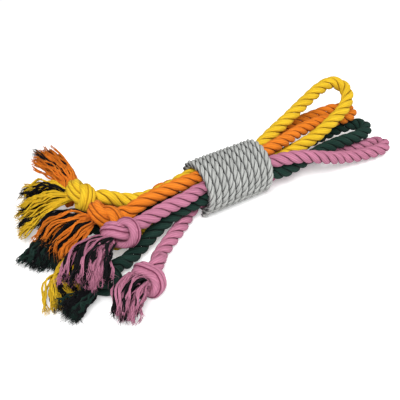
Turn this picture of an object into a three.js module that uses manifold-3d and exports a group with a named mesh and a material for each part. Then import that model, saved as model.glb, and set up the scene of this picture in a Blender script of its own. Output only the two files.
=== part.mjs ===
// Rope tug toy: four doubled ropes, held side by side by a wound cord binding.
// Each rope makes a loop on the +X side. Its two legs, on the -X side, end in knots and frayed tassels.
// Millimetres, +Z up. The origin is the flat underside of the binding, below the middle of its length.
import * as THREE from "three";
import { mergeVertices } from "three/addons/utils/BufferGeometryUtils.js";
import Module from "manifold-3d";

// Rope and binding sizes.
const ropeDiameter = 12;
const boundDiameter = 10.5; // the binding squeezes the ropes this thin
const boundGap = 0.42; // between neighbours in the ring of bound ropes
const ringRopes = 7; // the eighth bound rope runs down the middle
const ringTurn = -46; // degrees from the top of the bundle to its first rope
const cordDiameter = 6.1;
const cordGap = 0.5; // between one turn of the binding and the next
const turnsOnTop = 10; // turns that cross the top of the binding
const bindingTurns = turnsOnTop - 0.25; // the cord's two ends stop short of the underside
const seatGap = 0.3; // between pieces that rest on each other
const swellLength = 12; // length over which a rope regains its full thickness outside the binding
const straightPast = 2.5; // the ropes run straight this far past the binding's mouths

// Knot and tassel sizes.
const knotUnit = 8; // spacing of the rope's passes inside a knot
const knotRopeDiameter = 7.7; // rope thickness inside a pulled-up knot
const knotReach = 1.65; // from a knot's middle to the end of its solid, in knot units
const knotLeadIn = 6; // a leg runs straight into its knot for this length

// Facets.
const ropeSides = 8;
const ropeStep = 10;
const loopStep = 6;
const knotSides = 6;
const knotSteps = 38;
const knotTaperSteps = 3;
const cordSides = 6;
const stepsPerTurn = 24;
const tasselSides = 10;
const tasselSteps = 7;
const ballSteps = 3;
const cupAngle = 50; // half angle of the cup that a leg's ball end turns in, in degrees

const colours = { yellow: 0xf0c526, orange: 0xf58a24, green: 0x12403a, pink: 0xc97fae, grey: 0xb4b6b4 };

// Sizes that follow from the ones above.
const ropeRadius = ropeDiameter / 2;
const ringRadius = (boundDiameter + boundGap) / (2 * Math.sin(Math.PI / ringRopes));
const boreRadius = ringRadius + boundDiameter / 2 + seatGap;
const windingRadius = boreRadius + cordDiameter / 2;
const cordPitch = cordDiameter + cordGap;
const mouth = ((turnsOnTop - 1) * cordPitch + cordDiameter) / 2; // half the binding's length
const flatDepth = cordDiameter / 10; // the binding is pressed flat this deep where it lies on the floor
const cordReach = (cordDiameter / 2) * Math.cos(Math.PI / cordSides); // from its middle to its outer facet
const axisHeight = windingRadius + cordReach - flatDepth;
const ballRadius = ropeRadius - seatGap;
const cupRadius = ropeRadius + seatGap;

const vector = (p) => new THREE.Vector3(...p);
const radians = THREE.MathUtils.degToRad;

// Where a bound stretch runs through the binding: a place in the ring, or the middle.
function boundPlace(slot) {
  if (slot === "middle") return [0, axisHeight];
  const angle = radians(ringTurn) + (slot * 2 * Math.PI) / ringRopes;
  return [-ringRadius * Math.sin(angle), axisHeight + ringRadius * Math.cos(angle)];
}

// The ropes' routes, laid by hand. A leg's first point is where it flexes, and it ends in its knot.
// A loop's first and last points are where it flexes.
const ropes = {
  yellow: {
    loop: [
      [50, 13.6, 36], [64, 17, 40], [80, 20.4, 44.6], [105, 26, 52.6], [129, 31, 58.6], [142, 30.6, 59.6],
      [149.4, 23, 55.8], [147.2, 14.2, 51], [135.4, 5.4, 45.6], [118, 0.5, 40], [98, -2.8, 33.8],
      [78, -3, 28.3], [62, -2, 24.6], [50, -0.6, 23.4],
    ],
    legs: {
      upper: {
        slot: 0,
        route: [[-50, 9, 27.6], [-67, 9, 25.9], [-81, 10.4, 26.2], [-95, 15, 28.8]],
        knot: { centre: [-122, 30, 34], along: [-0.82, 0.57, 0], roll: 0 },
        tassel: {
          route: [[-145, 43, 33], [-157, 47.5, 31.5], [-168, 51.5, 26]],
          halfWidth: [12, 20, 25],
          halfThick: [9, 14, 15.5],
        },
      },
      lower: {
        slot: "middle",
        route: [[-50, 0.4, 16.6], [-68, 0.2, 11.6], [-86, -3, 8.2], [-103, -6.4, 6.8], [-118, -8.6, 8.4]],
        knot: { centre: [-142, -12, 12], along: [-0.98, -0.17, 0], roll: 0 },
        tassel: {
          route: [[-163, -20, 10.5], [-170.5, -29.5, 7.5], [-174, -40, 5]],
          halfWidth: [8, 12, 14.5],
          halfThick: [5.5, 5.5, 4.5],
        },
      },
    },
  },
  orange: {
    loop: [
      [50, 0.2, 36.6], [66, 4.2, 35.9], [86, 10.6, 34.4], [104, 13, 33.8], [121, 13.4, 32.6],
      [136, 11.4, 30.6], [148.5, 11.4, 29.8], [156.5, 16.6, 29.2], [157.2, 25, 28.2],
      [149.6, 32.6, 27], [135, 35.6, 25.8], [119, 36.5, 24.8], [103, 36.2, 24], [86, 34, 23.2],
      [70, 29.6, 22.6], [50, 20.4, 22.2],
    ],
    legs: {
      upper: {
        slot: 1,
        route: [[-50, -3.2, 36.2], [-70, -3.6, 35], [-87, -4.4, 33.4]],
        knot: { centre: [-116, 0, 29.5], along: [-0.98, 0.2, 0], roll: -30 },
        tassel: {
          route: [[-141, 1, 35.5], [-154, 1.5, 33], [-165.5, 2.5, 19.5]],
          halfWidth: [11, 17, 18],
          halfThick: [7, 10, 9],
        },
      },
      back: {
        slot: 6,
        route: [[-50, 22, 18.4], [-66, 27.6, 10.6], [-83, 36.6, 8.4]],
        knot: { centre: [-111.5, 54.5, 11.8], along: [-0.82, 0.57, 0], roll: 0 },
        tassel: {
          route: [[-124, 75, 19.5], [-125, 91, 28.4], [-131, 108, 35]],
          halfWidth: [8.5, 10.5, 12],
          halfThick: [6, 7, 7],
        },
      },
    },
  },
  pink: {
    loop: [
      [50, -14.6, 31], [66, -18.6, 29.6], [80, -22, 26], [96, -24.4, 20.5], [112, -24, 14.8],
      [131, -25.4, 11], [148, -27, 9.6], [160.4, -26.6, 8.6], [168.6, -20.6, 7.2], [166, -13.2, 6.3],
      [152, -9.8, 6.1], [134, -4.2, 6.1], [115, 2.2, 6.1], [95, 3.2, 6.1], [72, 0.8, 6.4], [50, -2.6, 8.4],
    ],
    legs: {
      upper: {
        slot: 2,
        route: [[-50, -15.6, 30.8], [-68, -17.4, 30.8], [-86, -20.6, 30.6]],
        knot: { centre: [-115.5, -26.5, 30], along: [-0.97, -0.24, 0], roll: 15 },
        tassel: {
          route: [[-141, -38, 35.5], [-151.5, -49, 35], [-162, -61, 25.5]],
          halfWidth: [10, 15, 17],
          halfThick: [7, 8.5, 8],
        },
      },
      front: {
        slot: 4,
        route: [
          [-45, -7, 6.6], [-56, -15.2, 6.1], [-69, -24, 6.1], [-81.6, -32.4, 6.2], [-93.6, -42.2, 7.6],
        ],
        knot: { centre: [-113, -62.4, 12.4], along: [-0.78, -0.62, 0], roll: 180 },
        tassel: {
          route: [[-132.5, -73.5, 18], [-142, -76.5, 14], [-150, -80.5, 7]],
          halfWidth: [9, 13, 14],
          halfThick: [7, 7, 5.5],
        },
      },
    },
  },
  green: {
    loop: [
      [50, -14.4, 17.6], [66, -12.9, 17.7], [82, -10.4, 17.9], [100, -7.6, 18.5], [122, -7.2, 18.9],
      [144, -8.4, 18.8], [156.6, -5.6, 18.6], [163, 2, 18.2], [159.6, 10.6, 17.6], [147, 14.4, 17.2],
      [127, 14.6, 16.6], [105, 14, 15.4], [82, 12.8, 14.2], [50, 9.8, 13.5],
    ],
    legs: {
      front: {
        slot: 3,
        route: [[-50, -12, 18.5], [-66, -14, 16.6], [-82, -18, 13], [-100, -25, 9.2], [-118, -33.2, 8.4]],
        knot: { centre: [-144, -46, 11.8], along: [-0.88, -0.47, 0], roll: 0 },
        tassel: {
          route: [[-164, -56, 10.5], [-169, -57, 8], [-174, -57, 5]],
          halfWidth: [7.5, 9.5, 10.5],
          halfThick: [5.5, 5.5, 4.5],
        },
      },
      back: {
        slot: 5,
        route: [[-50, 11.4, 10.8], [-75, 12.4, 8], [-100, 13.6, 6.8], [-116, 15, 8.4]],
        knot: { centre: [-139, 19.5, 12], along: [-0.97, 0.24, 0], roll: 0 },
        tassel: {
          route: [[-159.5, 20, 10.5], [-168, 15.5, 7.5], [-176.5, 13.5, 5.2]],
          halfWidth: [11, 17, 21],
          halfThick: [5.5, 5.5, 4.5],
        },
      },
    },
  },
};

// Half of an overhand knot's centre line in knot units, from its end to its lowest middle point.
// The other half is this one turned half round about the knot's own vertical.
const halfKnot = [
  [-knotReach, 0, 0], [-1.2, 0.16, 0], [-0.75, 0.33, 0.02], [0.06, 0.5, 0.5], [0.7, 0, 1],
  [0.96, -0.9, 0.82], [0.72, -1.36, 0], [0.28, -0.94, -0.76], [0, 0, -0.9],
];

// Closed surface through rings of equal count, with a pole before the first ring and after the last.
function loft(rings, startPole, endPole) {
  const sides = rings[0].length;
  const points = [startPole, ...rings.flat(), endPole];
  const last = points.length - 1;
  const faces = [];
  for (let side = 0; side < sides; side++) {
    const next = (side + 1) % sides;
    faces.push(0, 1 + next, 1 + side);
    for (let ring = 0; ring + 1 < rings.length; ring++) {
      const here = 1 + ring * sides;
      const there = here + sides;
      faces.push(here + side, here + next, there + next, here + side, there + next, there + side);
    }
    faces.push(last, last - sides + side, last - sides + next);
  }
  const geometry = new THREE.BufferGeometry().setFromPoints(points);
  return geometry.setIndex(faces);
}

// A point with its tangent and two side vectors, the first of them leaning towards a given direction.
function frameAt(point, tangent, towards) {
  const side = towards.clone().addScaledVector(tangent, -towards.dot(tangent)).normalize();
  return { point, tangent, side, up: tangent.clone().cross(side) };
}

// Frames carried along a line of points without twist.
function carryFrames(points, tangents, firstSide) {
  let towards = firstSide;
  return points.map((point, i) => {
    const frame = frameAt(point, tangents[i], towards);
    towards = frame.side;
    return frame;
  });
}

// An ellipse of points across a frame.
function ringAt(frame, advance, halfWidth, halfThick, sides) {
  const centre = frame.point.clone().addScaledVector(frame.tangent, advance);
  return Array.from({ length: sides }, (_, i) => {
    const angle = (2 * Math.PI * i) / sides;
    return centre
      .clone()
      .addScaledVector(frame.side, halfWidth * Math.cos(angle))
      .addScaledVector(frame.up, halfThick * Math.sin(angle));
  });
}

const pointAt = (frame, advance) => frame.point.clone().addScaledVector(frame.tangent, advance);
const anySide = (tangent) => new THREE.Vector3(0, 0, 1).cross(tangent).normalize();

// Knot frame: x along the rope's travel, z up before the roll about x.
function knotFrame({ centre, along, roll }) {
  const x = vector(along).normalize();
  const level = anySide(x);
  const y = level.clone().applyAxisAngle(x, radians(roll));
  const z = x.clone().cross(y);
  return new THREE.Matrix4().makeBasis(x, y, z).setPosition(vector(centre));
}

function knotCurve(knot) {
  const turned = halfKnot.slice(0, -1).map(([x, y, z]) => [-x, -y, z]);
  const points = [...halfKnot, ...turned.reverse()];
  const frame = knotFrame(knot);
  const placed = points.map((p) => vector(p).multiplyScalar(knotUnit).applyMatrix4(frame));
  return new THREE.CatmullRomCurve3(placed, false, "centripetal");
}

// The knot's rope enters as thick as its leg and is drawn thinner where it is pulled up tight.
function knotGeometry(knot) {
  const curve = knotCurve(knot);
  const stations = Array.from({ length: knotSteps + 1 }, (_, i) => i / knotSteps);
  const points = stations.map((u) => curve.getPointAt(u));
  const tangents = stations.map((u) => curve.getTangentAt(u));
  tangents[0] = vector(knot.along).normalize();
  tangents[knotSteps] = tangents[0];
  const frames = carryFrames(points, tangents, anySide(tangents[0]));
  const rings = frames.map((frame, i) => {
    const drawn = THREE.MathUtils.smoothstep(Math.min(i, knotSteps - i) / knotTaperSteps, 0, 1);
    const radius = THREE.MathUtils.lerp(ballRadius, knotRopeDiameter / 2, drawn);
    return ringAt(frame, 0, radius, radius, knotSides);
  });
  return loft(rings, points[0], points[knotSteps]);
}

// One rope from knot to knot as a single curve, with the distances along it where it is divided.
function layRope({ loop, legs }) {
  const [first, second] = Object.values(legs);
  const legPoints = ({ route, knot }) => {
    const entry = knotCurve(knot).getPoint(0);
    const leadIn = entry.clone().addScaledVector(vector(knot.along).normalize(), -knotLeadIn);
    return [...route.map(vector), leadIn, entry];
  };
  const through = ({ slot }) => {
    const [y, z] = boundPlace(slot);
    const ends = [mouth + straightPast, mouth - straightPast];
    return [-ends[0], -ends[1], 0, ends[1], ends[0]].map((x) => new THREE.Vector3(x, y, z));
  };
  const stretches = [
    legPoints(first).reverse(),
    through(first),
    loop.map(vector),
    through(second).reverse(),
    legPoints(second),
  ];
  const points = stretches.flat();
  const curve = new THREE.CatmullRomCurve3(points, false, "centripetal");
  const fine = 32;
  curve.arcLengthDivisions = fine * (points.length - 1);
  const lengths = curve.getLengths();
  const distance = (index) => lengths[fine * index];
  const boundPoints = stretches[1].length;
  const firstFlex = stretches[0].length - 1;
  const loopStart = firstFlex + boundPoints + 1;
  const loopEnd = loopStart + loop.length - 1;
  const secondFlex = loopEnd + boundPoints + 1;
  return {
    total: lengths.at(-1),
    place: (s) => curve.getPointAt(THREE.MathUtils.clamp(s / lengths.at(-1), 0, 1)),
    heading: (s) => curve.getTangentAt(THREE.MathUtils.clamp(s / lengths.at(-1), 0, 1)),
    flex: [distance(firstFlex), distance(secondFlex)],
    loop: [distance(loopStart), distance(loopEnd)],
  };
}

// Rope thickness by how far outside the binding the point is.
function ropeRadiusAt(point) {
  const outside = THREE.MathUtils.smoothstep(Math.abs(point.x), mouth, mouth + swellLength);
  return THREE.MathUtils.lerp(boundDiameter / 2, ropeRadius, outside);
}

// A stretch of rope between two distances along it. Each end is flat, a ball to flex on, or the cup for one.
function ropeGeometry(rope, [from, to], [startKind, endKind], step) {
  const cupRim = cupRadius * Math.cos(radians(cupAngle));
  const trim = { flat: seatGap / 2, ball: 0, cup: cupRim };
  const start = from + trim[startKind];
  const end = to - trim[endKind];
  const steps = Math.max(2, Math.round((end - start) / step));
  const stations = Array.from({ length: steps + 1 }, (_, i) => start + ((end - start) * i) / steps);
  const tangents = stations.map(rope.heading);
  const frames = carryFrames(stations.map(rope.place), tangents, anySide(tangents[0]));
  const rings = frames.map((frame) => {
    const radius = ropeRadiusAt(frame.point);
    return ringAt(frame, 0, radius, radius, ropeSides);
  });
  const finish = (kind, frame, outward) => {
    const across = (advance, radius) => ringAt(frame, outward * advance, radius, radius, ropeSides);
    if (kind === "flat") return { rings: [], pole: frame.point };
    if (kind === "ball") {
      const angles = Array.from({ length: ballSteps - 1 }, (_, i) => ((i + 1) * Math.PI) / 2 / ballSteps);
      const dome = angles.map((a) => across(ballRadius * Math.sin(a), ballRadius * Math.cos(a)));
      return { rings: dome, pole: pointAt(frame, outward * ballRadius) };
    }
    const angles = Array.from({ length: ballSteps }, (_, i) => radians(cupAngle) * (1 - i / ballSteps));
    const dish = angles.map((a) => across(cupRim - cupRadius * Math.cos(a), cupRadius * Math.sin(a)));
    return { rings: dish, pole: pointAt(frame, outward * (cupRim - cupRadius)) };
  };
  const head = finish(startKind, frames[0], -1);
  const tail = finish(endKind, frames[steps], 1);
  return loft([...head.rings.reverse(), ...rings, ...tail.rings], head.pole, tail.pole);
}

// A frayed end: a flat tuft that leaves the knot as thick as the rope and spreads to its cut tips.
function tasselGeometry(knot, { route, halfWidth, halfThick }) {
  const exit = knotCurve(knot).getPoint(1).addScaledVector(vector(knot.along).normalize(), seatGap);
  const curve = new THREE.CatmullRomCurve3([exit, ...route.map(vector)], false, "centripetal");
  const blend = (sizes, t) => {
    const at = t * (sizes.length - 1);
    const index = Math.min(Math.floor(at), sizes.length - 2);
    return THREE.MathUtils.lerp(sizes[index], sizes[index + 1], at - index);
  };
  const rings = Array.from({ length: tasselSteps + 1 }, (_, i) => {
    const t = i / tasselSteps;
    const tangent = i ? curve.getTangent(t) : vector(knot.along).normalize();
    const frame = frameAt(curve.getPoint(t), tangent, anySide(tangent));
    const [wide, thick] = [halfWidth, halfThick].map((sizes) => blend([ballRadius, ...sizes], t));
    return ringAt(frame, 0, wide, thick, tasselSides);
  });
  return loft(rings, exit, curve.getPoint(1));
}

// The binding: one unbroken cord wound round the bundle, its two ends running off straight.
// Each turn lies square across the top and steps over to the next along the underside.
function windingPoints() {
  const steps = bindingTurns * stepsPerTurn;
  const bottom = -Math.PI / 2;
  const turns = Array.from({ length: steps + 1 }, (_, i) => {
    const round = 2 * Math.PI * (i / stepsPerTurn - bindingTurns / 2);
    const x = (cordPitch * (round + Math.sin(round))) / (2 * Math.PI);
    const y = windingRadius * Math.cos(bottom - round);
    return new THREE.Vector3(x, y, axisHeight + windingRadius * Math.sin(bottom - round));
  });
  const runOff = (end, before) => end.clone().add(end.clone().sub(before).setLength(cordDiameter));
  return [runOff(turns[0], turns[1]), ...turns, runOff(turns[steps], turns[steps - 1])];
}

// Least space between one part of the wound cord and another, more than half a turn away along it.
function leastWindingGap(rings) {
  let least = Infinity;
  for (let i = 0; i < rings.length; i++) {
    for (let j = i + stepsPerTurn / 2; j < rings.length; j++) {
      for (const a of rings[i]) {
        for (const b of rings[j]) least = Math.min(least, a.distanceTo(b));
      }
    }
  }
  return least;
}

const wasm = await Module();
wasm.setup();

function toSolid(geometry) {
  const bare = geometry.clone();
  bare.deleteAttribute("normal");
  bare.deleteAttribute("uv");
  const merged = mergeVertices(bare);
  return new wasm.Manifold(
    new wasm.Mesh({
      numProp: 3,
      vertProperties: new Float32Array(merged.attributes.position.array),
      triVerts: new Uint32Array(merged.index.array),
    }),
  );
}

function toGeometry(solid) {
  const { vertProperties, triVerts } = solid.getMesh();
  return new THREE.BufferGeometry()
    .setAttribute("position", new THREE.BufferAttribute(vertProperties, 3))
    .setIndex(new THREE.BufferAttribute(triVerts, 1));
}

// The wound cord is pressed flat along its underside, where the toy lies on the floor.
function bindingGeometry() {
  const points = windingPoints();
  const tangents = points.map((_, i) => {
    const [before, after] = [points[Math.max(i - 1, 0)], points[Math.min(i + 1, points.length - 1)]];
    return after.clone().sub(before).normalize();
  });
  const lengthwise = new THREE.Vector3(1, 0, 0);
  const frames = points.map((point, i) => frameAt(point, tangents[i], lengthwise));
  const rings = frames.map((frame) => ringAt(frame, 0, cordDiameter / 2, cordDiameter / 2, cordSides));
  console.log("least gap between turns of the binding:", leastWindingGap(rings).toFixed(2), "mm");
  const wound = loft(rings, points[0], points.at(-1));
  const under = new THREE.BoxGeometry(3 * mouth, 4 * windingRadius, 2 * cordDiameter);
  under.translate(0, 0, -cordDiameter);
  return toGeometry(toSolid(wound).subtract(toSolid(under)));
}

const toy = new THREE.Group();

function add(name, geometry, colour) {
  geometry.computeVertexNormals();
  const material = new THREE.MeshStandardMaterial({ color: colours[colour], roughness: 0.9, metalness: 0 });
  const mesh = new THREE.Mesh(geometry, material);
  mesh.name = name;
  toy.add(mesh);
}

add("binding_cord", bindingGeometry(), "grey");
for (const [colour, rope] of Object.entries(ropes)) {
  const laid = layRope(rope);
  const [loopStart, loopEnd] = laid.loop;
  const [firstFlex, secondFlex] = laid.flex;
  add(`${colour}_loop`, ropeGeometry(laid, [loopStart, loopEnd], ["flat", "flat"], loopStep), colour);
  const [firstLeg, secondLeg] = Object.keys(rope.legs);
  const spans = {
    [firstLeg]: {
      leg: [[0, firstFlex], ["flat", "ball"], ropeStep],
      bound: [[firstFlex, loopStart], ["cup", "flat"], ropeStep],
    },
    [secondLeg]: {
      leg: [[secondFlex, laid.total], ["ball", "flat"], ropeStep],
      bound: [[loopEnd, secondFlex], ["flat", "cup"], ropeStep],
    },
  };
  for (const [place, leg] of Object.entries(rope.legs)) {
    const name = `${colour}_${place}`;
    add(`${name}_bound`, ropeGeometry(laid, ...spans[place].bound), colour);
    add(`${name}_leg`, ropeGeometry(laid, ...spans[place].leg), colour);
    add(`${name}_knot`, knotGeometry(leg.knot), colour);
    add(`${name}_tassel`, tasselGeometry(leg.knot, leg.tassel), colour);
  }
}

export default toy;
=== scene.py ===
# Rope tug toy: twisted ropes, overhand knots, frayed tassels and a wound binding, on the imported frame.
import bpy
import numpy as np
from mathutils import Matrix


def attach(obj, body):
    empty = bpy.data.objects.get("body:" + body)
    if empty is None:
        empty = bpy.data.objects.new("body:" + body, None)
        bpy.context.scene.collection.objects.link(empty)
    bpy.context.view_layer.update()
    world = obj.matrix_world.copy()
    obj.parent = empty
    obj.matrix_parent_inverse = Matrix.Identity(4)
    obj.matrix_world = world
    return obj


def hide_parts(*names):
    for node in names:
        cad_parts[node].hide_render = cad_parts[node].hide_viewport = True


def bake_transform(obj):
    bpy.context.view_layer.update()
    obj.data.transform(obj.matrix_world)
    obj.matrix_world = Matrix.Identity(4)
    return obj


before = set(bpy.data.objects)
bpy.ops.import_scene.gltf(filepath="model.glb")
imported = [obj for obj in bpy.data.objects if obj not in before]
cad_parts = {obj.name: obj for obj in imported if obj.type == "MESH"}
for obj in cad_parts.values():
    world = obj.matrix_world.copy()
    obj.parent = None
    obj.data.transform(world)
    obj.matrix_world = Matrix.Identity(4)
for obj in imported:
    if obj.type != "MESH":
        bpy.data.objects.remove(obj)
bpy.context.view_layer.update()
scene = bpy.context.scene
scene.view_settings.view_transform = "Standard"
print("frame loaded:", len(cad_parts), "nodes")


# Vectors divided by their lengths.
def unit(vectors):
    return vectors / np.linalg.norm(vectors, axis=-1, keepdims=True)


# A new object that faces the origin: z points away from it, x is level, and y is across both.
def facingOrigin(name, data, position):
    back = unit(np.array(position))
    right = unit(np.cross((0, 0, 1), back))
    place = np.eye(4)
    place[:3] = np.column_stack((right, np.cross(back, right), back, position))
    made = bpy.data.objects.new(name, data)
    made.matrix_world = Matrix(place.tolist())
    scene.collection.objects.link(made)
    return made


cameraView = {"azimuth": -34.15, "elevation": 36.7, "distance": 0.6, "nearClip": 0.01, "sensor": 36.0,
    "focalPixels": 676.9, "framePixels": 400, "aimPixel": (227.9, 197.9)}


# The camera stands back from the origin by the distance, and the shift moves the origin to its pixel.
def makeCamera(look):
    turn, rise = np.radians((look["azimuth"], look["elevation"]))
    back = np.array((np.sin(turn) * np.cos(rise), -np.cos(turn) * np.cos(rise), np.sin(rise)))
    data = bpy.data.cameras.new("camera")
    data.sensor_width = look["sensor"]
    data.lens = look["focalPixels"] / look["framePixels"] * look["sensor"]
    data.shift_x = 0.5 - look["aimPixel"][0] / look["framePixels"]
    data.shift_y = look["aimPixel"][1] / look["framePixels"] - 0.5
    data.clip_start = look["nearClip"]
    scene.camera = facingOrigin("camera", data, back * look["distance"])


makeCamera(cameraView)
print("camera placed")


# A node tree's socket. Arithmetic on it adds Math nodes.
class Wire:
    def __init__(self, tree, socket=None):
        self.tree, self.socket = tree, socket

    # Any node: its settings come first, then the values or links of its sockets.
    def node(self, kind, settings, sockets):
        made = self.tree.nodes.new(kind)
        for key, value in settings.items():
            setattr(made, key, value)
        for key, value in sockets.items():
            target = next(s for s in made.inputs if key in (s.identifier, s.name) and s.enabled)
            if isinstance(value, Wire):
                self.tree.links.new(value.socket, target)
            else:
                target.default_value = value
        return {s.identifier: Wire(self.tree, s) for s in made.outputs if s.enabled}

    # A Math node's operation on one or two values.
    def math(self, operation, *values):
        sockets = dict(zip(("Value", "Value_001"), values))
        return self.node("ShaderNodeMath", {"operation": operation}, sockets)["Value"]

    def __add__(self, other):
        return self.math("ADD", self, other)

    def __radd__(self, other):
        return self.math("ADD", other, self)

    def __sub__(self, other):
        return self.math("SUBTRACT", self, other)

    def __rsub__(self, other):
        return self.math("SUBTRACT", other, self)

    def __mul__(self, other):
        return self.math("MULTIPLY", self, other)

    def __rmul__(self, other):
        return self.math("MULTIPLY", other, self)

    def __pow__(self, other):
        return self.math("POWER", self, other)

    # The low colour where this value is 0, the high one where it is 1, and a straight mix between.
    def mixed(self, low, high):
        settings = {"data_type": "RGBA", "clamp_factor": True}
        sockets = {"Factor_Float": self, "A_Color": low, "B_Color": high}
        return self.node("ShaderNodeMix", settings, sockets)["Result_Color"]

    # Links this value to a socket of a shader.
    def feed(self, shader, socket):
        self.tree.links.new(self.socket, shader.inputs[socket])


# Each colour's own tone, and its groove colour: a darker tone that paints shade into the creases, between
# yarns and between the binding's turns.
cottonTones = {
    "yellow": {"tone": (0.78, 0.50, 0.018), "groove": (0.36, 0.18, 0.006)},
    "orange": {"tone": (0.77, 0.205, 0.012), "groove": (0.22, 0.045, 0.004)},
    "pink": {"tone": (0.51, 0.19, 0.29), "groove": (0.13, 0.025, 0.055)},
    "green": {"tone": (0.007, 0.032, 0.023), "groove": (0.0008, 0.002, 0.0016)},
    "binding": {"tone": (0.47, 0.48, 0.46), "groove": (0.035, 0.035, 0.037)}}

cottonLook = {
    "fibre": {"scale": 1.0, "detail": 3.0, "share": 0.55, "stretch": (1.5, 6.0, 1.0)},
    "yarn": {"scale": 1.3, "detail": 1.0, "share": 0.3, "stretch": (0.35, 1.0, 1.0)},
    "patch": {"scale": 60.0, "detail": 2.0, "share": 0.25}, "noiseRoughness": 0.6,
    "streakFrom": 0.3, "streakGain": 2.2, "streakShade": 0.58, "paleGain": 1.14, "paleLift": 0.010,
    "yarnLineShade": 0.4, "yarnPower": 2.0, "creaseShadePower": 1.6, "black": (0.003, 0.003, 0.004),
    "roughness": 0.86, "roughSpread": 0.12, "sheen": 0.02, "sheenRoughness": 0.5, "specular": 0.1,
    "bumpStrength": 0.6, "bumpDistance": 0.0004}


# Cotton: streaks of fibre, yarn and patch noise run from a shaded tone to a pale one. The lines between
# yarns, where the cosine of the lay is near 0, and the creases take the groove's colour, which is painted
# shade, and yarns marked dark take the black. The same fibres lift the surface through a bump.
def makeCotton(colour, tones, look):
    material = bpy.data.materials.new(colour + "_cotton")
    material.use_nodes = True
    wires = Wire(material.node_tree)
    shader = material.node_tree.nodes["Principled BSDF"]
    shader.inputs["Sheen Weight"].default_value = look["sheen"]
    shader.inputs["Sheen Roughness"].default_value = look["sheenRoughness"]
    shader.inputs["Specular IOR Level"].default_value = look["specular"]
    lay = wires.node("ShaderNodeUVMap", {"uv_map": "lay"}, {})["UV"]
    place = wires.node("ShaderNodeTexCoord", {}, {})["Object"]
    depth = wires.node("ShaderNodeAttribute", {"attribute_name": "depth"}, {})["Fac"]
    dark = wires.node("ShaderNodeAttribute", {"attribute_name": "dark"}, {})["Fac"]

    # Noise on a vector, with a grain's scale and detail.
    def noise(vector, grain):
        sockets = {"Vector": vector, "Scale": grain["scale"], "Detail": grain["detail"],
            "Roughness": look["noiseRoughness"]}
        return wires.node("ShaderNodeTexNoise", {"noise_dimensions": "3D"}, sockets)["Fac"]

    # Noise on the lay's map times a stretch, which draws it out along the yarns.
    def layNoise(grain):
        sockets = {"Vector": lay, "Vector_001": grain["stretch"]}
        stretched = wires.node("ShaderNodeVectorMath", {"operation": "MULTIPLY"}, sockets)["Vector"]
        return noise(stretched, grain)

    fibre, yarn, patch = layNoise(look["fibre"]), layNoise(look["yarn"]), noise(place, look["patch"])
    wound = wires.node("ShaderNodeSeparateXYZ", {}, {"Vector": lay})["Y"] * np.pi
    # Painted shade between yarns: 1 where the cosine of the lay is 0, less towards the middle of each yarn.
    yarnGapShade = (1 - wires.math("ABSOLUTE", wires.math("COSINE", wound))) ** look["yarnPower"]
    tone = np.array(tones["tone"])
    paintedGrooveShade = tones["groove"] + (1.0,)
    streaky = tuple(tone * look["streakShade"]) + (1.0,)
    pale = tuple(np.minimum(tone * look["paleGain"] + look["paleLift"], 1.0)) + (1.0,)
    streak = fibre * look["fibre"]["share"] + yarn * look["yarn"]["share"] + patch * look["patch"]["share"]
    base = ((streak - look["streakFrom"]) * look["streakGain"]).mixed(streaky, pale)
    # Painted shade: the lines between yarns, and then the creases where depth is 1, go towards the groove's
    # dark colour.
    base = (yarnGapShade * look["yarnLineShade"]).mixed(base, paintedGrooveShade)
    base = (depth ** look["creaseShadePower"]).mixed(base, paintedGrooveShade)
    dark.mixed(base, look["black"] + (1.0,)).feed(shader, "Base Color")
    (fibre * look["roughSpread"] + look["roughness"]).feed(shader, "Roughness")
    sockets = {"Strength": look["bumpStrength"], "Distance": look["bumpDistance"], "Height": fibre}
    wires.node("ShaderNodeBump", {}, sockets)["Normal"].feed(shader, "Normal")
    return material


cotton = {colour: makeCotton(colour, tones, cottonLook) for colour, tones in cottonTones.items()}
print("materials made")

strandCount = 3
curveSteps = 32  # points to a span of a curve
mapScale = 100  # the lay's map counts centimetres along a rope, and yarns round it
sideLean = (0.137, 0.292, 0.947)  # a direction that no rope runs along


# Dot products: sums of products over the last axis.
def dots(first, second):
    return np.sum(first * second, axis=-1, keepdims=True)


# 0 below low, 1 above high, and 3t2 - 2t3 between.
def smoothstep(values, low, high):
    t = np.clip((values - low) / (high - low), 0.0, 1.0)
    return t * t * (3.0 - 2.0 * t)


# Running mean over a window of stations, with the ends held.
def softened(values, window):
    padded = np.pad(values, (window, window), mode="edge")
    kernel = np.ones(2 * window + 1) / (2 * window + 1)
    return np.convolve(padded, kernel, mode="valid")


# Centripetal Catmull-Rom curve: knots are spaced by the square root of the distance between points.
def curveThrough(points, fine=curveSteps):
    p = np.array(points, dtype=float)
    p = np.vstack((2 * p[0] - p[1], p, 2 * p[-1] - p[-2]))
    before, start, end, after = p[:-3], p[1:-2], p[2:-1], p[3:]
    gap = [np.sqrt(np.linalg.norm(b - a, axis=1, keepdims=True))
        for a, b in ((before, start), (start, end), (end, after))]
    leave = (start - before) / gap[0] - (end - before) / (gap[0] + gap[1]) + (end - start) / gap[1]
    arrive = (end - start) / gap[1] - (after - start) / (gap[1] + gap[2]) + (after - end) / gap[2]
    leave, arrive = leave * gap[1], arrive * gap[1]
    t = (np.arange(fine) / fine)[None, :, None]
    start, end, leave, arrive = (v[:, None, :] for v in (start, end, leave, arrive))
    cubic = 2 * start - 2 * end + leave + arrive
    square = 3 * end - 3 * start - 2 * leave - arrive
    curve = start + t * (leave + t * (square + t * cubic))
    return np.vstack((curve.reshape(-1, 3), p[-2]))


# The distance along a line to each of its points: the sum of the steps so far.
def lengthsAlong(points):
    steps = np.linalg.norm(np.diff(points, axis=0), axis=1)
    return np.concatenate(((0.0,), np.cumsum(steps)))


# Points at even distances along a line of points.
def spaced(points, step):
    along = lengthsAlong(points)
    wanted = np.linspace(0.0, along[-1], max(2, int(round(along[-1] / step)) + 1))
    return np.column_stack([np.interp(wanted, along, points[:, axis]) for axis in range(3)])


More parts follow.
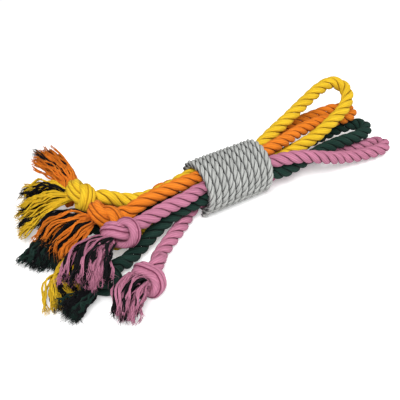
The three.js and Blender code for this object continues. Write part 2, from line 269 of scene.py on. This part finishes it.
# Two sides across a line, carried along it without twist: a fixed direction gives a first pair, and
# the turn of that pair from station to station, summed up, is taken off again.
def carriedSides(tangents, lean=sideLean):
    lean = np.broadcast_to(np.array(lean), tangents.shape)
    side = unit(lean - dots(lean, tangents) * tangents)
    up = np.cross(tangents, side)
    here, there = tangents[:-1], tangents[1:]
    moved = side[:-1] - dots(side[:-1], there) / (1.0 + dots(here, there)) * (here + there)
    steps = np.arctan2(dots(moved, up[1:]), dots(moved, side[1:]))[:, 0]
    turn = np.concatenate(((0.0,), np.cumsum(steps)))[:, None]
    return np.cos(turn) * side + np.sin(turn) * up, np.cos(turn) * up - np.sin(turn) * side


# Round rings of points across each centre line, the first point of a ring away from a direction.
def roundRings(centres, lean, radii, sides):
    tangents = unit(np.gradient(centres, axis=1))
    side = unit(lean - dots(lean, tangents) * tangents)[:, :, None, :]
    up = np.cross(tangents[:, :, None, :], side)
    angle = (2 * np.pi * np.arange(sides) / sides - np.pi)[:, None]
    return centres[:, :, None, :] + radii[:, :, None, None] * (np.cos(angle) * side + np.sin(angle) * up)


# Closed tubes through rings of points. A pole in the middle of its first ring and one in the middle of its
# last ring close each tube. All first poles stand after the rings' points, and all last poles after those.
def tubeBundle(rings, along, around):
    count, stations, sides = rings.shape[:3]
    points = np.vstack((rings.reshape(-1, 3), rings[:, 0].mean(axis=1), rings[:, -1].mean(axis=1)))
    index = np.arange(count * stations * sides).reshape(count, stations, sides)
    wrapped = np.concatenate((index, index[:, :, :1]), axis=2)

    # The four corners of each cell of a grid.
    def corners(grid):
        return np.stack((grid[:, :-1, :-1], grid[:, :-1, 1:], grid[:, 1:, 1:], grid[:, 1:, :-1]), axis=3)

    quads = corners(wrapped).reshape(-1, 4)
    pole = index.size + np.repeat(np.arange(count), sides)
    first, last = wrapped[:, 0], wrapped[:, -1]
    starts = np.stack((pole, first[:, 1:].ravel(), first[:, :-1].ravel()), axis=1)
    ends = np.stack((pole + count, last[:, :-1].ravel(), last[:, 1:].ravel()), axis=1)
    u = np.broadcast_to(along[:, :, None], (count, stations, sides + 1))
    uv = np.stack((u, np.broadcast_to(around, u.shape)), axis=3)
    quadUv = np.stack([corners(uv[..., axis]) for axis in (0, 1)], axis=4).reshape(-1, 2)
    capUv = np.concatenate([np.repeat(uv[:, row, :-1].reshape(-1, 2), 3, axis=0) for row in (0, -1)])
    return points, quads, np.vstack((starts, ends)), np.vstack((quadUv, capUv))


# Several shapes as one: each shape's faces count on from the points before it.
def joined(shapes):
    starts = np.cumsum([0] + [len(shape[0]) for shape in shapes])
    quads = [shape[1] + start for shape, start in zip(shapes, starts)]
    caps = [shape[2] + start for shape, start in zip(shapes, starts)]
    uv = [shape[3][:shape[1].size] for shape in shapes] + [shape[3][shape[1].size:] for shape in shapes]
    return np.vstack([shape[0] for shape in shapes]), np.vstack(quads), np.vstack(caps), np.vstack(uv)


# A smooth-shaded object from points, quads and triangles, with its own UV map and point attributes.
def newPiece(name, shape, values, material):
    points, quads, caps, uv = shape
    mesh = bpy.data.meshes.new(name)
    mesh.from_pydata(points.tolist(), [], quads.tolist() + caps.tolist())
    mesh.uv_layers.new(name="lay").data.foreach_set("uv", uv.ravel())
    for key, numbers in values.items():
        mesh.attributes.new(key, "FLOAT", "POINT").data.foreach_set("value", numbers)
    mesh.polygons.foreach_set("use_smooth", np.ones(len(mesh.polygons), dtype=bool))
    mesh.materials.append(material)
    mesh.update()
    piece = bpy.data.objects.new(name, mesh)
    scene.collection.objects.link(piece)
    return piece


# The crease shares of a strand's edge and the knot's crease widths mark where painted shade fills the
# creases between strands.
ropeLook = {
    "diameter": 0.012, "lay": 0.030,  # a full turn of the strands
    "step": 0.001, "sides": 32, "declaredStep": 0.003, "strandShift": 17.3,  # stations, points, map
    "yarns": 8, "yarnTurn": 0.030, "relief": 0.02, "ridgeMean": 1.27,  # yarn ridges round a strand
    "groove": 0.33, "power": 2.6, "outer": 0.72, "core": 0.08, "creaseShade": (0.70, 1.0),  # a strand's slice
    "knotStrand": (0.0027, 0.0029), "knotRow": (0.0012, -0.0004), "knotSpread": 0.0036,  # ovals in a knot
    "knotCreaseShade": (0.0002, 0.0009)}


# Three strands wound round a path. The turn places the first, and the others stand a third of a turn away.
# A strand is a slice of the rope, whose outside falls off to its edges by a power of the angle. Loose
# (0 to 1) makes the strands ovals side by side. Yarn ridges run round each strand. Depth is 1 in creases,
# and paints shade into the colour there.
def laidRope(path, turn, scale, loose, look):
    s = lengthsAlong(path)
    tangents = unit(np.gradient(path, axis=0))
    side, up = carriedSides(tangents)
    out = np.cos(turn)[:, None] * side + np.sin(turn)[:, None] * up
    across = np.cross(tangents, out)
    around = 2 * np.pi * np.arange(look["sides"] + 1) / look["sides"] - np.pi
    yarn = look["yarns"] * around[None, :] / (2 * np.pi) + look["yarns"] * (s / look["yarnTurn"])[:, None]
    ridge = 1 + look["relief"] * (np.abs(np.cos(np.pi * yarn[:, :-1])) * 2 - look["ridgeMean"])
    theta = around[:-1]
    edge = np.clip(np.abs(theta) / (look["outer"] * np.pi), 0, 1)
    inner = np.clip((np.abs(theta) / np.pi - look["outer"]) / (1 - look["outer"]), 0, 1)
    rise = (1 - look["groove"] * edge ** look["power"]) * (1 - inner) + look["core"] * inner
    radius = look["diameter"] / 2 * rise * ridge
    strand = np.array((0, 1, -1))[:, None, None]
    angle = np.sign(theta) * np.pi / strandCount * (edge - inner) + strand * 2 * np.pi / strandCount
    tightOut, tightAcross = radius * np.cos(angle), radius * np.sin(angle)
    high, wide = look["knotStrand"]
    looseOut = np.where(strand == 0, *look["knotRow"]) + high * np.cos(theta) * ridge
    looseAcross = strand * look["knotSpread"] + wide * np.sin(theta) * ridge
    free, size = loose[None, :, None], scale[None, :, None]

    # A straight mix of a tight rope's value and a loose one's.
    def between(tight, slack):
        return (1 - free) * tight + free * slack

    outward, sideways = size * between(tightOut, looseOut), size * between(tightAcross, looseAcross)
    centre, out, across = (v[None, :, None, :] for v in (path, out, across))
    rings = centre + outward[..., None] * out + sideways[..., None] * across
    along = np.broadcast_to(s * mapScale, (strandCount, len(s)))
    shape = tubeBundle(rings, along, yarn[None] + look["strandShift"] * strand)
    # Painted shade: depth is 1 in the creases between strands and between a knot's ovals, and darkens the
    # colour there.
    border = np.abs(np.abs(looseAcross) - look["knotSpread"] / 2)
    tightCreaseShade = smoothstep(edge, *look["creaseShade"]) * np.ones(rings.shape[:3])
    depth = between(tightCreaseShade, 1 - smoothstep(border, *look["knotCreaseShade"])).ravel()
    poles = np.ones(2 * strandCount)
    return shape, {"depth": np.concatenate((depth, poles))}


# Each colour's rope, in metres as in the frame: the points of its loop, the name of a body for the loop,
# which is not used, and its two legs. A leg has a slot in the binding, a route, a knot and the points of its
# tassel, with the tassel's half sizes there, the share of black yarns and the seed of its yarns.
ropes = {
    "yellow": {
        "body": "upper_loops",
        "loop": [(.05, .0136, .036), (.064, .017, .04), (.08, .0204, .0446), (.105, .026, .0526),
            (.129, .031, .0586), (.142, .0306, .0596), (.1494, .023, .0558), (.1472, .0142, .051),
            (.1354, .0054, .0456), (.118, .0005, .04), (.098, -.0028, .0338), (.078, -.003, .0283),
            (.062, -.002, .0246), (.05, -.0006, .0234)],
        "legs": {
            "upper": {
                "slot": 0,
                "route": [(-.05, .009, .0276), (-.067, .009, .0259), (-.081, .0104, .0262),
                    (-.095, .015, .0288)],
                "knot": {"centre": (-.122, .03, .034), "along": (-0.82, 0.57, 0), "roll": 0},
                "tassel": [(-.1395, .0417, .0345), (-.152, .0485, .0295), (-.167, .055, .020)],
                "halfWidth": (.0135, .0205, .0225), "halfThick": (.009, .010, .011),
                "tilt": 36, "black": 0.38, "seed": 49},
            "lower": {
                "slot": "middle",
                "route": [(-.05, .0004, .0166), (-.068, .0002, .0116), (-.086, -.003, .0082),
                    (-.103, -.0064, .0068), (-.118, -.0086, .0084)],
                "knot": {"centre": (-.142, -.012, .012), "along": (-0.98, -0.17, 0), "roll": 0},
                "tassel": [(-.161, -.0215, .0105), (-.168, -.0325, .0075), (-.1685, -.0455, .0055)],
                "halfWidth": (.009, .013, .017), "halfThick": (.007, .006, .005),
                "black": 0.4, "seed": 37},
        }},
    "orange": {
        "body": "upper_loops",
        "loop": [(.05, .0002, .0366), (.066, .0042, .0359), (.086, .0106, .0344), (.104, .013, .0338),
            (.121, .0134, .0326), (.136, .0114, .0306), (.1485, .0114, .0298), (.1565, .0166, .0292),
            (.1572, .025, .0282), (.1496, .0326, .027), (.135, .0356, .0258), (.119, .0365, .0248),
            (.103, .0362, .024), (.086, .034, .0232), (.07, .0296, .0226), (.05, .0204, .0222)],
        "legs": {
            "upper": {
                "slot": 1,
                "route": [(-.05, -.0032, .0362), (-.07, -.0036, .035), (-.087, -.0044, .0334)],
                "knot": {"centre": (-.116, 0, .0295), "along": (-0.98, 0.2, 0), "roll": -30},
                "tassel": [(-.1395, -.0005, .035), (-.152, -.002, .0335), (-.164, -.0025, .0215)],
                "halfWidth": (.015, .020, .022), "halfThick": (.009, .012, .012),
                "black": 0.52, "seed": 63},
            "back": {
                "slot": 6,
                "route": [(-.05, .022, .0184), (-.066, .0276, .0106), (-.083, .0366, .0084)],
                "knot": {"centre": (-.1115, .0545, .0118), "along": (-0.82, 0.57, 0), "roll": 0},
                "tassel": [(-.1165, .0725, .021), (-.1195, .0885, .029), (-.129, .107, .035)],
                "halfWidth": (.009, .010, .0105), "halfThick": (.007, .007, .007),
                "black": 0.2, "seed": 70},
        }},
    "pink": {
        "body": "lower_loops",
        "loop": [(.05, -.0146, .031), (.066, -.0186, .0296), (.08, -.022, .026), (.096, -.0244, .0205),
            (.112, -.024, .0148), (.131, -.0254, .011), (.148, -.027, .0096), (.1604, -.0266, .0086),
            (.1686, -.0206, .0072), (.166, -.0132, .0063), (.152, -.0098, .0061), (.134, -.0042, .0061),
            (.115, .0022, .0061), (.095, .0032, .0061), (.072, .0008, .0064), (.05, -.0026, .0084)],
        "legs": {
            "upper": {
                "slot": 2,
                "route": [(-.05, -.0156, .0308), (-.068, -.0174, .0308), (-.086, -.0206, .0306)],
                "knot": {"centre": (-.1155, -.0265, .03), "along": (-0.97, -0.24, 0), "roll": 15},
                "tassel": [(-.141, -.038, .0365), (-.1515, -.049, .038), (-.162, -.061, .0295)],
                "halfWidth": (.013, .0175, .0195), "halfThick": (.008, .0085, .007),
                "black": 0.45, "seed": 40},
            "front": {
                "slot": 4,
                "route": [(-.045, -.007, .0066), (-.056, -.0152, .0061), (-.069, -.024, .0061),
                    (-.0816, -.0324, .0062), (-.0936, -.0422, .0076)],
                "knot": {"centre": (-.113, -.0624, .0124), "along": (-0.78, -0.62, 0), "roll": 180},
                "tassel": [(-.130, -.0725, .0215), (-.1385, -.0785, .0185), (-.1455, -.0855, .0075)],
                "halfWidth": (.014, .013, .009), "halfThick": (.010, .010, .007),
                "black": 0.52, "seed": 99},
        }},
    "green": {
        "body": "lower_loops",
        "loop": [(.05, -.0144, .0176), (.066, -.0129, .0177), (.082, -.0104, .0179), (.1, -.0076, .0185),
            (.122, -.0072, .0189), (.144, -.0084, .0188), (.1566, -.0056, .0186), (.163, .002, .0182),
            (.1596, .0106, .0176), (.147, .0144, .0172), (.127, .0146, .0166), (.105, .014, .0154),
            (.082, .0128, .0142), (.05, .0098, .0135)],
        "legs": {
            "front": {
                "slot": 3,
                "route": [(-.05, -.012, .0185), (-.066, -.014, .0166), (-.082, -.018, .013),
                    (-.1, -.025, .0092), (-.118, -.0332, .0084)],
                "knot": {"centre": (-.144, -.046, .0118), "along": (-0.88, -0.47, 0), "roll": 0},
                "tassel": [(-.164, -.0545, .009), (-.1705, -.0562, .0065), (-.1755, -.0575, .0045)],
                "halfWidth": (.007, .008, .008), "halfThick": (.006, .006, .005),
                "black": 0.55, "seed": 80},
            "back": {
                "slot": 5,
                "route": [(-.05, .0114, .0108), (-.075, .0124, .008), (-.1, .0136, .0068),
                    (-.116, .015, .0084)],
                "knot": {"centre": (-.139, .0195, .012), "along": (-0.97, 0.24, 0), "roll": 0},
                "tassel": [(-.1595, .0155, .0105), (-.168, .0075, .0075), (-.1745, .0015, .0052)],
                "halfWidth": (.012, .018, .022), "halfThick": (.007, .008, .007),
                "black": 0.45, "seed": 87},
        }},
}

boundLook = {"ringRopes": 7, "ringRadius": 0.012584, "ringTurn": -46, "axisHeight": 0.023215, "scale": 0.875,
    "mouth": 0.03275, "straightPast": 0.0025, "swell": 0.012, "start": 0.0002, "exit": 0.030}


# A bound stretch's place: a seventh of a turn from its neighbours in the ring, or the middle.
def boundPlace(slot, look):
    if slot == "middle":
        return 0.0, look["axisHeight"]
    angle = np.radians(look["ringTurn"]) + slot * 2 * np.pi / look["ringRopes"]
    return -look["ringRadius"] * np.sin(angle), look["axisHeight"] + look["ringRadius"] * np.cos(angle)


# Straight through the binding from its middle to just past its mouth, on the side that sign gives.
def boundPoints(slot, sign, look):
    y, z = boundPlace(slot, look)
    reach = (0, look["mouth"] - look["straightPast"], look["mouth"] + look["straightPast"])
    return [(sign * x, y, z) for x in reach]


# Where a rope leaves the binding, on the side that sign gives.
def exitPoint(slot, sign, look):
    y, z = boundPlace(slot, look)
    return sign * look["exit"], float(y), float(z)


# The squeeze of the binding: thin inside, full size a swell's length outside its mouth.
def swellAlong(path, look):
    outside = smoothstep(np.abs(path[:, 0]), look["mouth"], look["mouth"] + look["swell"])
    return look["scale"] + (1 - look["scale"]) * outside


# Half of the knot's centre line in knot units. The other half is turned half round about its vertical.
knotLook = {"unit": 0.008, "reach": 1.65, "leadIn": 0.006,
    "flatRatio": (0.35, 0.75), "flatWindow": 4, "turnWindow": 5,
    "half": (
        (-1.65, 0, 0), (-1.2, 0.16, 0), (-0.75, 0.33, 0.02), (0.06, 0.5, 0.5), (0.7, 0, 1),
        (0.96, -0.9, 0.82), (0.72, -1.36, 0), (0.28, -0.94, -0.76), (0, 0, -0.9))}


# The direction in which a rope passes through its knot.
def knotDirection(knot):
    return unit(np.array(knot["along"], dtype=float))


# Knot points in the row frame: x along the rope's travel, y level and then rolled about x.
def knotPath(knot, look):
    half = np.array(look["half"], dtype=float)
    points = np.vstack((half, (half[:-1] * (-1, -1, 1))[::-1])) * look["unit"]
    x = knotDirection(knot)
    level = unit(np.cross((0, 0, 1), x))
    roll = np.radians(knot["roll"])
    y = np.cos(roll) * level + np.sin(roll) * np.cross(x, level)
    return curveThrough(points @ np.array((x, y, np.cross(x, y))) + np.array(knot["centre"]))


# From the middle of the binding along the leg's route and through its knot, at even steps, and the length
# at which the knot begins.
def legPath(leg):
    tied = knotPath(leg["knot"], knotLook)
    leadIn = tied[0] - knotLook["leadIn"] * knotDirection(leg["knot"])
    laid = curveThrough(boundPoints(leg["slot"], -1, boundLook) + leg["route"] + [leadIn, tied[0]])
    laid = laid[laid[:, 0] < -boundLook["start"]]
    return spaced(np.vstack((laid, tied[1:])), ropeLook["step"]), lengthsAlong(laid)[-1]


# The strands' turn, which grows by a full turn in each lay, and how loose they are. Inside the knot the
# turn stops and faces away from the knot's centre, so that the strands lie flat on it. They are loose where
# the way out from the centre stands across the rope.
def knotLay(path, knotStart, centre, look):
    s = lengthsAlong(path)
    tangents = unit(np.gradient(path, axis=0))
    side, up = carriedSides(tangents)
    fromKnot = path - np.array(centre)
    outward = fromKnot - dots(fromKnot, tangents) * tangents
    ratio = (np.linalg.norm(outward, axis=1) / np.linalg.norm(fromKnot, axis=1)) * (s > knotStart)
    loose = softened(smoothstep(ratio, *look["flatRatio"]), look["flatWindow"])
    inside = np.flatnonzero(loose > 0.5)
    first, last = inside[0], inside[-1]
    facing = np.unwrap(np.arctan2(dots(outward, up), dots(outward, side))[first:last + 1, 0])
    rate = 2 * np.pi / ropeLook["lay"]
    before = facing[0] + rate * (s[:first] - s[first])
    after = facing[-1] + rate * (s[last + 1:] - s[last])
    return softened(np.concatenate((before, facing, after)), look["turnWindow"]), loose


# A leg is one unbroken rope that ends in its knot.
def makeLeg(name, leg, material):
    path, knotStart = legPath(leg)
    turn, loose = knotLay(path, knotStart, leg["knot"]["centre"], knotLook)
    shape, values = laidRope(path, turn, swellAlong(path, boundLook), loose, ropeLook)
    rope = newPiece(name + "_rope", shape, values, material)
    length = float(lengthsAlong(path)[-1])
    exitPoint(leg["slot"], -1, boundLook)
    return rope, length


# A loop leaves the binding in one place and comes back into it in another. Its lay turns steadily.
def makeLoop(name, points, slots, material):
    there, back = (boundPoints(slot, 1, boundLook) for slot in slots)
    laid = curveThrough(there + points + back[::-1])
    path = spaced(laid[laid[:, 0] > boundLook["start"]], ropeLook["step"])
    s = lengthsAlong(path)
    turn = 2 * np.pi / ropeLook["lay"] * s
    shape, values = laidRope(path, turn, swellAlong(path, boundLook), np.zeros(len(s)), ropeLook)
    rope = newPiece(name + "_rope", shape, values, material)
    length = float(s[-1])
    exitPoint(slots[0], 1, boundLook)
    return rope, length


tasselLook = {
    "locks": 36, "yarns": 3, "plies": 4,  # yarns in a lock, plies in a yarn
    "sides": 3, "stations": 16, "lean": (0.21, 0.34, 0.92), "floorGap": 0.0007,
    "start": 0.004, "startRadius": 0.0050, "exitRadius": 0.0072, "inset": 0.001,  # in the knot's exit
    "angleShift": 0.3, "fanTurn": 6, "blackShift": 0.3, "lockRadius": 0.0014, "lockWiden": (0.6, 0.9),
    "lockReach": (0.84, 1.03), "plyReach": (0.92, 1.04),  # shares of the tassel's length
    "opening": (0.1, 0.7), "curling": (0.1, 0.5), "fraying": (0.5, 1.0), "thinning": (0.75, 1.05),
    "bend": 0.0028, "liftBend": 0.6, "wave": 0.0011, "waves": (1.5, 3.5),
    "plyRadius": 0.00046, "tipThin": 0.5, "plyOffset": 0.00042, "plyTwist": 12, "untwist": 0.4,
    "fray": 0.0012, "frayShare": (0.3, 1.3), "mapTurns": 2, "mapShift": 50,
    "hairs": 2, "hairRadius": 0.00013, "hairTaper": (1, 1, 0.8, 0.3), "hairLength": 0.004,
    "hairRun": (0.5, 1.3), "hairStray": 0.45, "hairFloorGap": 0.0003}

goldenAngle = np.pi * (3 - np.sqrt(5))


# A tassel's own curve, from inside the knot's exit through its points, with two sides across it. They are
# carried along the curve, or a tilt fixes their plane, turned from level about the knot's direction.
def tasselSpine(leg, look):
    along = knotDirection(leg["knot"])
    end = np.array(leg["knot"]["centre"]) + along * knotLook["unit"] * knotLook["reach"]
    spine = curveThrough([end - along * look["start"], end] + leg["tassel"])
    level, above = np.cross((0, 0, 1), along), np.array((0, 0, 1))
    side, up = carriedSides(unit(np.gradient(spine, axis=0)), level)
    if "tilt" in leg:
        tilt = np.radians(leg["tilt"])
        side[:] = np.cos(tilt) * level - np.sin(tilt) * above
        up[:] = np.sin(tilt) * level + np.cos(tilt) * above
    return spine, side, up


# Centre lines of a tassel's plies, the share of the length at each station, that length, and 1 for black
# plies. Locks stand in an ellipse, each a golden angle on from the one before, at the square root of its
# order, the black ones mostly inside. Along the curve the ellipse opens, locks bend, yarns curl in waves,
# and the plies of a yarn, twisted round each other, come apart towards its tip.
def plyLines(leg, look, draw):
    spine, side, up = tasselSpine(leg, look)
    s = lengthsAlong(spine)
    locks, yarns = look["locks"], look["locks"] * look["yarns"]
    count = yarns * look["plies"]

    # One row for each ply, from one for each lock.
    def perLock(values):
        return np.repeat(values, look["yarns"] * look["plies"], axis=0)

    # One row for each ply, from one for each yarn.
    def perYarn(values):
        return np.repeat(values, look["plies"], axis=0)

    order = np.arange(locks) + 0.5
    spread = np.sqrt(order / locks)
    shift = draw.uniform(-look["angleShift"], look["angleShift"], locks)
    angle = order * goldenAngle + shift + draw.uniform(0, look["fanTurn"])
    depth = spread + draw.normal(0, look["blackShift"], locks)
    black = (depth < np.quantile(depth, leg["black"])).astype(float)
    a, b = perLock(spread * np.cos(angle))[:, None], perLock(spread * np.sin(angle))[:, None]
    bend = perLock(draw.normal(0, look["bend"], (locks, 2)))
    place = perYarn(draw.uniform(-1, 1, (yarns, 2))) * look["lockRadius"]
    phase = perYarn(draw.uniform(0, 2 * np.pi, (yarns, 2)))
    waves = perYarn(draw.uniform(*look["waves"], (yarns, 2))) * 2 * np.pi
    reach = perLock(draw.uniform(*look["lockReach"], locks)) * draw.uniform(*look["plyReach"], count)
    t = np.linspace(0, 1, look["stations"])[None, :] * reach[:, None]
    at = t * s[-1]

    # A line of vectors, read at each station of each ply.
    def sample(line):
        return np.stack([np.interp(at, s, line[:, axis]) for axis in range(3)], axis=2)

    marks, exitSizes = s[::curveSteps], (look["startRadius"], look["exitRadius"])
    halfWidth = np.interp(at, marks, exitSizes + leg["halfWidth"]) - look["inset"]
    halfThick = np.interp(at, marks, exitSizes + leg["halfThick"]) - look["inset"]
    opened, apart = smoothstep(t, *look["opening"]), smoothstep(t, *look["fraying"])
    curled = look["wave"] * smoothstep(t, *look["curling"])
    ply = np.tile(2 * np.pi * np.arange(look["plies"]) / look["plies"], yarns)[:, None]
    twist = ply + t * look["plyTwist"] * (1 - look["untwist"] * apart) + phase[:, :1]
    frayed = look["fray"] * draw.uniform(*look["frayShare"], (count, 1))
    offset = look["plyOffset"] * (1 - apart) + apart * frayed
    widen = look["lockWiden"][0] + look["lockWiden"][1] * opened
    across = a * halfWidth + widen * place[:, :1] + bend[:, :1] * opened * t \
        + curled * np.sin(waves[:, :1] * t + phase[:, :1]) + offset * np.cos(twist)
    lift = b * halfThick + widen * place[:, 1:] + bend[:, 1:] * opened * t * look["liftBend"] \
        + curled * np.cos(waves[:, 1:] * t + phase[:, 1:]) + offset * np.sin(twist)
    beyond = np.maximum(at - s[-1], 0)[..., None] * unit(spine[-1] - spine[-2])
    centres = sample(spine) + beyond + across[..., None] * sample(side) + lift[..., None] * sample(up)
    centres[..., 2] = np.maximum(centres[..., 2], look["floorGap"])
    return centres, t, at, perLock(black)


# Hairs leave each ply near its tip, run on in its direction and stray from it by the square of the run.
def hairLines(centres, look, draw):
    root = np.repeat(centres[:, -2], look["hairs"], axis=0)[:, None, :]
    heading = np.repeat(unit(centres[:, -1] - centres[:, -3]), look["hairs"], axis=0)[:, None, :]
    stray = draw.normal(0, look["hairStray"], heading.shape)
    stations = np.linspace(0, 1, len(look["hairTaper"]))[None, :, None]
    run = stations * draw.uniform(*look["hairRun"], (len(root), 1, 1))
    hairs = root + look["hairLength"] * run * (heading + run * stray)
    hairs[..., 2] = np.maximum(hairs[..., 2], look["hairFloorGap"])
    return hairs, run[:, :, 0]


# One value for each tube, given to all the points of its rings and then to its two poles.
def perPoint(values, stations, sides):
    return np.concatenate((np.repeat(values, stations * sides), values, values))


# A tassel: thin tubes round the centre lines of its plies and hairs.
def makeTassel(name, leg, look, material):
    draw = np.random.default_rng(leg["seed"])
    centres, t, at, black = plyLines(leg, look, draw)
    lean, sides = np.array(look["lean"]), look["sides"]
    radii = look["plyRadius"] * (1 - look["tipThin"] * smoothstep(t, *look["thinning"]))
    shift = draw.uniform(0, look["mapShift"], len(centres))[:, None, None]
    around = np.linspace(0, look["mapTurns"], sides + 1) + shift
    plyShape = tubeBundle(roundRings(centres, lean, radii, sides), at * mapScale, around)
    hairs, run = hairLines(centres, look, draw)
    hairRadii = look["hairRadius"] * np.array(look["hairTaper"])[None, :]
    hairShape = tubeBundle(roundRings(hairs, lean, hairRadii, sides), run, np.linspace(0, 1, sides + 1))
    hairBlack = np.repeat(black, look["hairs"])
    dark = np.concatenate((perPoint(black, look["stations"], sides),
        perPoint(hairBlack, len(look["hairTaper"]), sides)))
    return newPiece(name + "_tassel_yarns", joined((plyShape, hairShape)), {"dark": dark}, material)


lengths = {}
for colour, rope in ropes.items():
    slots = [leg["slot"] for leg in rope["legs"].values()]
    loop, lengths[colour + "_loop"] = makeLoop(colour + "_loop", rope["loop"], slots, cotton[colour])
    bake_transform(loop)
    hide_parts(colour + "_loop")
    for place, leg in rope["legs"].items():
        name = colour + "_" + place
        tassel = makeTassel(name, leg, tasselLook, cotton[colour])
        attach(tassel, name + "_end")
        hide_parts(name + "_tassel")
        piece, lengths[name] = makeLeg(name, leg, cotton[colour])
        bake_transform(piece)
        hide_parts(name + "_bound", name + "_leg", name + "_knot")
print("ropes laid and tassels frayed")

# The gap range marks where painted shade darkens the cord's sides that face the next turn.
bindingLook = {"windingRadius": 0.021184, "pitch": 0.0066, "turns": 9.75, "stepsPerTurn": 24,
    "runOff": 0.0061, "scale": 0.565, "lay": 0.020, "step": 0.0011, "curveSteps": 12, "gap": (0.62, 0.92)}

# The cord's crease shares mark where painted shade fills the creases between its strands.
cordLook = dict(ropeLook, sides=20, yarns=5, yarnTurn=0.016, relief=0.06, groove=0.46, power=2.2,
    creaseShade=(0.62, 1.05))


# The cord climbs one pitch a turn, faster over the top than underneath, and ends in straight tails. It is
# flat where it meets the floor, and depth is 1 also where one turn lies beside the next, which paints shade
# between the turns.
def makeBinding(look, material):
    steps = int(look["turns"] * look["stepsPerTurn"])
    turn = 2 * np.pi * (np.arange(steps + 1) / look["stepsPerTurn"] - look["turns"] / 2)
    angle = -np.pi / 2 - turn
    x = look["pitch"] * (turn + np.sin(turn)) / (2 * np.pi)
    y = look["windingRadius"] * np.cos(angle)
    z = boundLook["axisHeight"] + look["windingRadius"] * np.sin(angle)
    points = np.column_stack((x, y, z))
    ends = unit(np.array((points[0] - points[1], points[-1] - points[-2]))) * look["runOff"]
    points = np.vstack((points[0] + ends[0], points, points[-1] + ends[1]))
    path = spaced(curveThrough(points, look["curveSteps"]), look["step"])
    s = lengthsAlong(path)
    scale, loose = np.full(len(s), look["scale"]), np.zeros(len(s))
    shape, values = laidRope(path, 2 * np.pi / look["lay"] * s, scale, loose, cordLook)
    ringCount = strandCount * len(path) * cordLook["sides"]
    rings = shape[0][:ringCount].reshape(strandCount, len(path), -1, 3)
    # Painted shade between turns: the cord's sides that face the next turn take depth 1, and so the dark
    # groove colour.
    beside = np.abs(rings[..., 0] - path[None, :, None, 0]) / (look["scale"] * cordLook["diameter"] / 2)
    depth = values["depth"][:ringCount]
    depth[:] = np.maximum(depth, smoothstep(beside, *look["gap"]).ravel())
    shape[0][:, 2] = np.maximum(shape[0][:, 2], 0.0)
    return newPiece("binding_cord_wound", shape, values, material), s[-1]


binding, lengths["binding"] = makeBinding(bindingLook, cotton["binding"])
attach(binding, "bound_bundle")
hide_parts("binding_cord")
print("binding wound", {key: round(float(value), 4) for key, value in lengths.items()})

stageLook = {"floor": (0.92, 0.92, 0.92), "floorRoughness": 0.9, "size": 3.0, "drop": 0.0003, "glow": 0.3,
    "sky": 0.32,
    "lights": (
        {"name": "key", "place": (-0.5, -0.7, 1.1), "size": 0.8, "power": 22.0},
        {"name": "fill", "place": (0.9, -0.3, 0.7), "size": 0.8, "power": 3.5})}


# 1 for rays that show the background: from the camera, or by way of a reflection or a clear surface.
def seenRays(tree):
    rays = Wire(tree).node("ShaderNodeLightPath", {}, {})
    return rays["Is Camera Ray"] + rays["Is Glossy Ray"] + rays["Is Transmission Ray"]


# A white floor just below the object. It glows a little for the rays that show it, and keeps the shadow.
def makeFloor(look):
    half, low = look["size"] / 2, -look["drop"]
    mesh = bpy.data.meshes.new("floor")
    corners = [(-half, -half, low), (half, -half, low), (half, half, low), (-half, half, low)]
    mesh.from_pydata(corners, [], [(0, 1, 2, 3)])
    paper = bpy.data.materials.new("paper")
    paper.use_nodes = True
    shader = paper.node_tree.nodes["Principled BSDF"]
    shader.inputs["Base Color"].default_value = look["floor"] + (1.0,)
    shader.inputs["Roughness"].default_value = look["floorRoughness"]
    shader.inputs["Specular IOR Level"].default_value = 0.0
    shader.inputs["Emission Strength"].default_value = 1.0
    glow = (look["glow"],) * 3 + (1.0,)
    seenRays(paper.node_tree).mixed((0, 0, 0, 1), glow).feed(shader, "Emission Color")
    mesh.materials.append(paper)
    floor = bpy.data.objects.new("floor", mesh)
    scene.collection.objects.link(floor)


# A white sky, which shows plain white and lights the object less than that.
def makeSky(look):
    world = bpy.data.worlds.new("studio")
    world.use_nodes = True
    scene.world = world
    world.node_tree.nodes.clear()
    wires = Wire(world.node_tree)

    # A white background of one strength.
    def white(strength):
        sockets = {"Color": (1, 1, 1, 1), "Strength": strength}
        return wires.node("ShaderNodeBackground", {}, sockets)["Background"]

    sockets = {"Fac": seenRays(world.node_tree), "Shader": white(look["sky"]), "Shader_001": white(1.0)}
    surface = wires.node("ShaderNodeMixShader", {}, sockets)["Shader"]
    wires.node("ShaderNodeOutputWorld", {}, {"Surface": surface})


# Round area lamps that face the object.
def makeLights(look):
    for lamp in look["lights"]:
        data = bpy.data.lights.new(lamp["name"], "AREA")
        data.shape, data.size, data.energy = "DISK", lamp["size"], lamp["power"]
        facingOrigin(lamp["name"], data, lamp["place"])


makeFloor(stageLook)
makeSky(stageLook)
makeLights(stageLook)
print("stage set")
